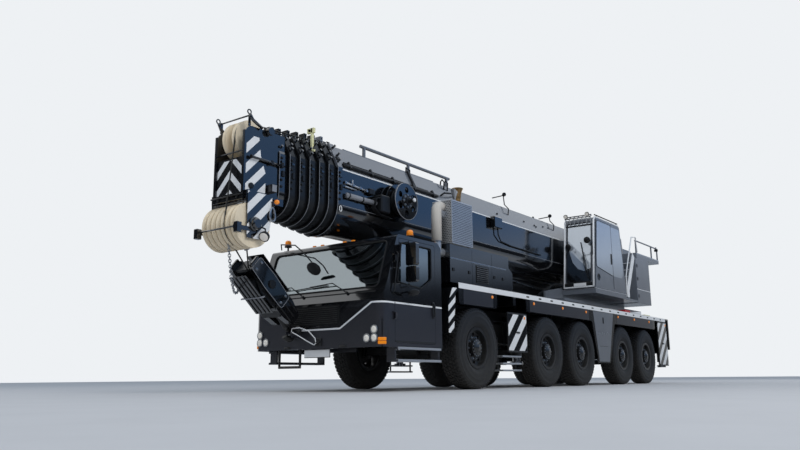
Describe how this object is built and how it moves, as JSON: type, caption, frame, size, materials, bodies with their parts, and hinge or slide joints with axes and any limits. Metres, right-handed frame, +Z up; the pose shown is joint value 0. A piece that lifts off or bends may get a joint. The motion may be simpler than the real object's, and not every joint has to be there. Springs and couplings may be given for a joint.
{
  "type": "five-axle all-terrain mobile crane",
  "caption": "Five-axle mobile crane in road position: driver's cab, slewing superstructure with crane cab, telescopic boom, outriggers and hook block.",
  "frame": {"origin": "on the ground under the slewing axis, midway between axles 3 and 4", "axes": "+X forward (driving direction), +Y to the driver's left, +Z up"},
  "size_m": [14.825, 3.18, 4.08],
  "materials": {
    "black_paint": "gloss black",
    "frame_black": "satin black",
    "deck_grey": "satin, light edge strip",
    "tyre_rubber": "matte",
    "rim_black": "satin",
    "axle_steel": "painted casting",
    "glass": "tinted clear",
    "interior": "grained",
    "silencer": "perforated",
    "booth_grey": "gloss grey and black",
    "platform_black": "satin",
    "boom_black": "gloss",
    "chrome_rod": "polished",
    "sheave_nylon": "cast nylon",
    "drum_steel": "satin with rope",
    "hook_black": "satin"
  },
  "bodies": {
    "carrier": {"chassis_frame": "frame_black", "axle_beams": "axle_steel", "deck": "deck_grey", "engine_cover": "black_paint", "engine_block": "axle_steel", "exhaust": "silencer", "cab_shell": "black_paint", "cab_glass": "glass", "cab_interior": "interior", "hook_block": "hook_black"},
    "steer_1_left": {"knuckle_1_left": "axle_steel"},
    "wheel_1_left": {"tyre_1_left": "tyre_rubber", "wheel_1_left": "rim_black"},
    "steer_1_right": {"knuckle_1_right": "axle_steel"},
    "wheel_1_right": {"tyre_1_right": "tyre_rubber", "wheel_1_right": "rim_black"},
    "steer_2_left": {"knuckle_2_left": "axle_steel"},
    "wheel_2_left": {"tyre_2_left": "tyre_rubber", "wheel_2_left": "rim_black"},
    "steer_2_right": {"knuckle_2_right": "axle_steel"},
    "wheel_2_right": {"tyre_2_right": "tyre_rubber", "wheel_2_right": "rim_black"},
    "wheel_3_left": {"tyre_3_left": "tyre_rubber", "wheel_3_left": "rim_black"},
    "wheel_3_right": {"tyre_3_right": "tyre_rubber", "wheel_3_right": "rim_black"},
    "wheel_4_left": {"tyre_4_left": "tyre_rubber", "wheel_4_left": "rim_black"},
    "wheel_4_right": {"tyre_4_right": "tyre_rubber", "wheel_4_right": "rim_black"},
    "wheel_5_left": {"tyre_5_left": "tyre_rubber", "wheel_5_left": "rim_black"},
    "wheel_5_right": {"tyre_5_right": "tyre_rubber", "wheel_5_right": "rim_black"},
    "door_left": {"door_left": "black_paint"},
    "door_right": {"door_right": "black_paint"},
    "beam_front_left": {"outrigger_beam_front_left": "black_paint"},
    "jack_front_left": {"outrigger_jack_front_left": "chrome_rod"},
    "beam_front_right": {"outrigger_beam_front_right": "black_paint"},
    "jack_front_right": {"outrigger_jack_front_right": "chrome_rod"},
    "beam_rear_left": {"outrigger_beam_rear_left": "black_paint"},
    "jack_rear_left": {"outrigger_jack_rear_left": "chrome_rod"},
    "beam_rear_right": {"outrigger_beam_rear_right": "black_paint"},
    "jack_rear_right": {"outrigger_jack_rear_right": "chrome_rod"},
    "superstructure": {"slewing_platform": "platform_black"},
    "crane_cab": {"crane_cab_shell": "booth_grey", "crane_cab_glass": "glass", "crane_cab_interior": "interior"},
    "crane_cab_door": {"crane_cab_door": "booth_grey"},
    "winch": {"winch_drum": "drum_steel"},
    "luffing_barrel": {"luffing_barrel": "boom_black"},
    "luffing_rod": {"luffing_rod": "chrome_rod"},
    "boom_base": {"boom_base": "boom_black"},
    "boom_section_1": {"boom_section_1": "boom_black"},
    "boom_section_2": {"boom_section_2": "boom_black"},
    "boom_section_3": {"boom_section_3": "boom_black"},
    "boom_section_4": {"boom_section_4": "boom_black"},
    "boom_section_5": {"boom_section_5": "boom_black"},
    "boom_section_6": {"boom_section_6": "boom_black", "head_sheaves": "sheave_nylon"}
  },
  "joints": [
    {"name": "steering_1_left", "type": "hinge", "parent": "carrier", "child": "steer_1_left", "pos_m": [5.545, 1.04, 0.685], "axis": [0, 0, 1], "range_deg": [-35, 35]},
    {"name": "roll_1_left", "type": "hinge", "parent": "steer_1_left", "child": "wheel_1_left", "pos_m": [5.545, 1.1825, 0.685], "axis": [0, 1, 0], "continuous": true},
    {"name": "steering_1_right", "type": "hinge", "parent": "carrier", "child": "steer_1_right", "pos_m": [5.545, -1.04, 0.685], "axis": [0, 0, 1], "range_deg": [-35, 35]},
    {"name": "roll_1_right", "type": "hinge", "parent": "steer_1_right", "child": "wheel_1_right", "pos_m": [5.545, -1.1825, 0.685], "axis": [0, 1, 0], "continuous": true},
    {"name": "steering_2_left", "type": "hinge", "parent": "carrier", "child": "steer_2_left", "pos_m": [2.855, 1.04, 0.685], "axis": [0, 0, 1], "range_deg": [-20.6, 20.6]},
    {"name": "roll_2_left", "type": "hinge", "parent": "steer_2_left", "child": "wheel_2_left", "pos_m": [2.855, 1.1825, 0.685], "axis": [0, 1, 0], "continuous": true},
    {"name": "steering_2_right", "type": "hinge", "parent": "carrier", "child": "steer_2_right", "pos_m": [2.855, -1.04, 0.685], "axis": [0, 0, 1], "range_deg": [-20.6, 20.6]},
    {"name": "roll_2_right", "type": "hinge", "parent": "steer_2_right", "child": "wheel_2_right", "pos_m": [2.855, -1.1825, 0.685], "axis": [0, 1, 0], "continuous": true},
    {"name": "roll_3_left", "type": "hinge", "parent": "carrier", "child": "wheel_3_left", "pos_m": [1.205, 1.1825, 0.685], "axis": [0, 1, 0], "continuous": true},
    {"name": "roll_3_right", "type": "hinge", "parent": "carrier", "child": "wheel_3_right", "pos_m": [1.205, -1.1825, 0.685], "axis": [0, 1, 0], "continuous": true},
    {"name": "roll_4_left", "type": "hinge", "parent": "carrier", "child": "wheel_4_left", "pos_m": [-1.205, 1.1825, 0.685], "axis": [0, 1, 0], "continuous": true},
    {"name": "roll_4_right", "type": "hinge", "parent": "carrier", "child": "wheel_4_right", "pos_m": [-1.205, -1.1825, 0.685], "axis": [0, 1, 0], "continuous": true},
    {"name": "roll_5_left", "type": "hinge", "parent": "carrier", "child": "wheel_5_left", "pos_m": [-2.855, 1.1825, 0.685], "axis": [0, 1, 0], "continuous": true},
    {"name": "roll_5_right", "type": "hinge", "parent": "carrier", "child": "wheel_5_right", "pos_m": [-2.855, -1.1825, 0.685], "axis": [0, 1, 0], "continuous": true},
    {"name": "door_left_open", "type": "hinge", "parent": "carrier", "child": "door_left", "pos_m": [7.851, 1.369, 1.5], "axis": [0, 0, -1], "range_deg": [0, 70]},
    {"name": "door_right_open", "type": "hinge", "parent": "carrier", "child": "door_right", "pos_m": [7.851, -1.369, 1.5], "axis": [0, 0, 1], "range_deg": [0, 70]},
    {"name": "outrigger_front_left", "type": "slide", "parent": "carrier", "child": "beam_front_left", "axis": [0, 1, 0], "range_m": [0, 1.9]},
    {"name": "jack_front_left", "type": "slide", "parent": "beam_front_left", "child": "jack_front_left", "axis": [0, 0, -1], "range_m": [0, 0.6]},
    {"name": "outrigger_front_right", "type": "slide", "parent": "carrier", "child": "beam_front_right", "axis": [0, -1, 0], "range_m": [0, 1.9]},
    {"name": "jack_front_right", "type": "slide", "parent": "beam_front_right", "child": "jack_front_right", "axis": [0, 0, -1], "range_m": [0, 0.6]},
    {"name": "outrigger_rear_left", "type": "slide", "parent": "carrier", "child": "beam_rear_left", "axis": [0, 1, 0], "range_m": [0, 1.9]},
    {"name": "jack_rear_left", "type": "slide", "parent": "beam_rear_left", "child": "jack_rear_left", "axis": [0, 0, -1], "range_m": [0, 0.6]},
    {"name": "outrigger_rear_right", "type": "slide", "parent": "carrier", "child": "beam_rear_right", "axis": [0, -1, 0], "range_m": [0, 1.9]},
    {"name": "jack_rear_right", "type": "slide", "parent": "beam_rear_right", "child": "jack_rear_right", "axis": [0, 0, -1], "range_m": [0, 0.6]},
    {"name": "slewing", "type": "hinge", "parent": "carrier", "child": "superstructure", "pos_m": [0, 0, 1.8], "axis": [0, 0, 1], "continuous": true},
    {"name": "crane_cab_tilt", "type": "hinge", "parent": "superstructure", "child": "crane_cab", "pos_m": [-1.7, 0.9725, 2.158], "axis": [0, -1, 0], "range_deg": [0, 20]},
    {"name": "crane_cab_door_slide", "type": "slide", "parent": "crane_cab", "child": "crane_cab_door", "axis": [-1, 0, 0], "range_m": [0, 0.7]},
    {"name": "winch_turn", "type": "hinge", "parent": "superstructure", "child": "winch", "pos_m": [-4.15, 0, 3.4], "axis": [0, 1, 0], "continuous": true},
    {"name": "luffing", "type": "hinge", "parent": "superstructure", "child": "boom_base", "pos_m": [-2.9, 0, 3.1], "axis": [0, -1, 0], "range_deg": [0, 82]},
    {"name": "luffing_barrel_swing", "type": "hinge", "parent": "superstructure", "child": "luffing_barrel", "pos_m": [-1.1, 0, 2.05], "axis": [0, -1, 0], "range_deg": [0, 88.6]},
    {"name": "luffing_rod_stroke", "type": "slide", "parent": "luffing_barrel", "child": "luffing_rod", "axis": [0.9978, 0, 0.0661], "range_m": [0, 2.7]},
    {"name": "telescope_1", "type": "slide", "parent": "boom_base", "child": "boom_section_1", "axis": [1, 0, 0], "range_m": [0, 9.9]},
    {"name": "telescope_2", "type": "slide", "parent": "boom_section_1", "child": "boom_section_2", "axis": [1, 0, 0], "range_m": [0, 9.9]},
    {"name": "telescope_3", "type": "slide", "parent": "boom_section_2", "child": "boom_section_3", "axis": [1, 0, 0], "range_m": [0, 9.9]},
    {"name": "telescope_4", "type": "slide", "parent": "boom_section_3", "child": "boom_section_4", "axis": [1, 0, 0], "range_m": [0, 9.9]},
    {"name": "telescope_5", "type": "slide", "parent": "boom_section_4", "child": "boom_section_5", "axis": [1, 0, 0], "range_m": [0, 9.9]},
    {"name": "telescope_6", "type": "slide", "parent": "boom_section_5", "child": "boom_section_6", "axis": [1, 0, 0], "range_m": [0, 9.9]}
  ],
  "couplings": [
    {"joint": "steering_1_right", "follows": "steering_1_left", "ratio": 1},
    {"joint": "steering_2_left", "follows": "steering_1_left", "ratio": 0.58571},
    {"joint": "steering_2_right", "follows": "steering_1_left", "ratio": 0.58571},
    {"joint": "luffing_barrel_swing", "follows": "luffing", "ratio": 1.0738},
    {"joint": "luffing_rod_stroke", "follows": "luffing", "m_per_rad": 1.8719},
    {"joint": "telescope_2", "follows": "telescope_1", "ratio": 1},
    {"joint": "telescope_3", "follows": "telescope_1", "ratio": 1},
    {"joint": "telescope_4", "follows": "telescope_1", "ratio": 1},
    {"joint": "telescope_5", "follows": "telescope_1", "ratio": 1},
    {"joint": "telescope_6", "follows": "telescope_1", "ratio": 1}
  ]
}
